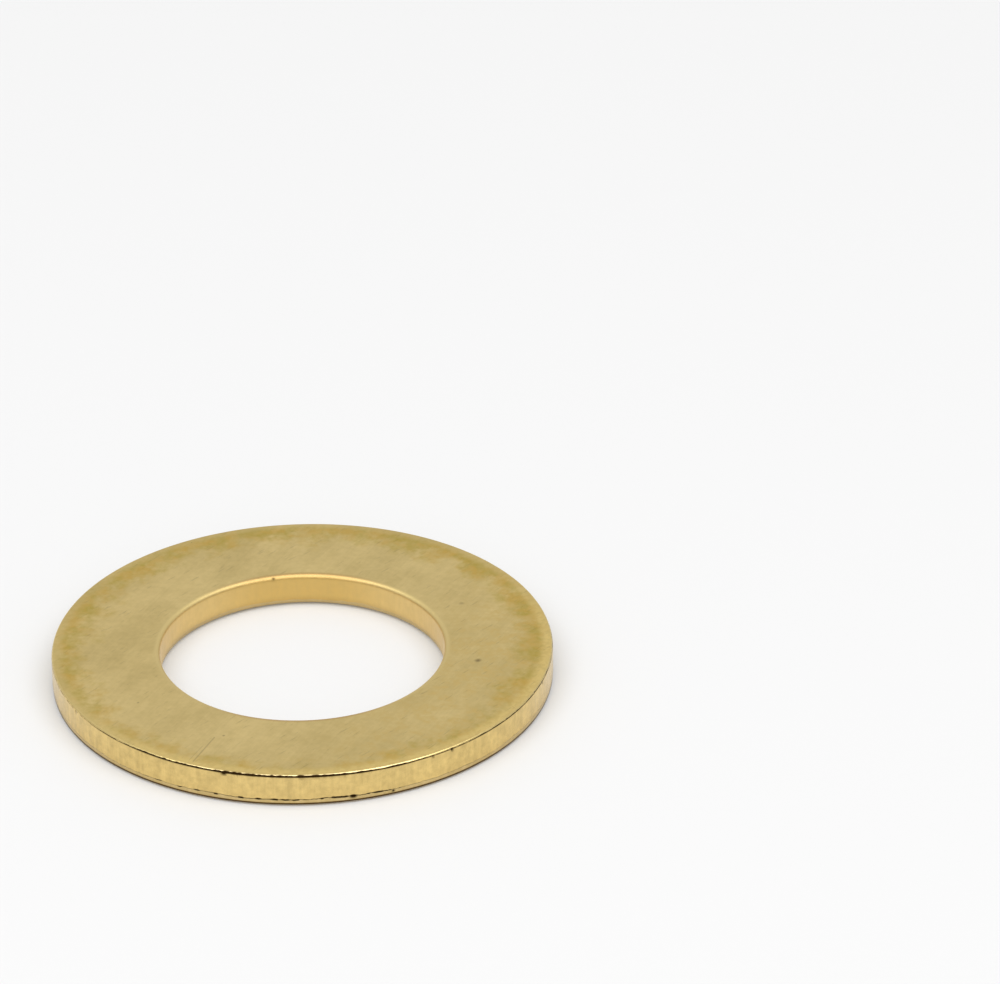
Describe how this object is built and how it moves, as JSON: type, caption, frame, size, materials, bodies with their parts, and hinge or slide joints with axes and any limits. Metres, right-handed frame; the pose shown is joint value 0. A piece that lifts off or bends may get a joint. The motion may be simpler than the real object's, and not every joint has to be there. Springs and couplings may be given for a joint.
{
  "type": "flat washer",
  "caption": "Plain flat round washer in satin brass, a thin ring with a clearance bore, that spreads a bolt head's or nut's load and guards the surface under it.",
  "frame": {"origin": "centre of the lower face, on the bore's axis", "axes": "+Z along the bore's axis, from the lower face to the upper face, which has the rolled edges; X and Y are alike, because the ring is round"},
  "size_m": [0.03, 0.03, 0.002],
  "materials": {
    "brass": "satin, as stamped, with fine lengthwise rolling lines and light tarnish near the rim"
  },
  "bodies": {
    "root": {"washer_ring": "brass"}
  },
  "joints": []
}
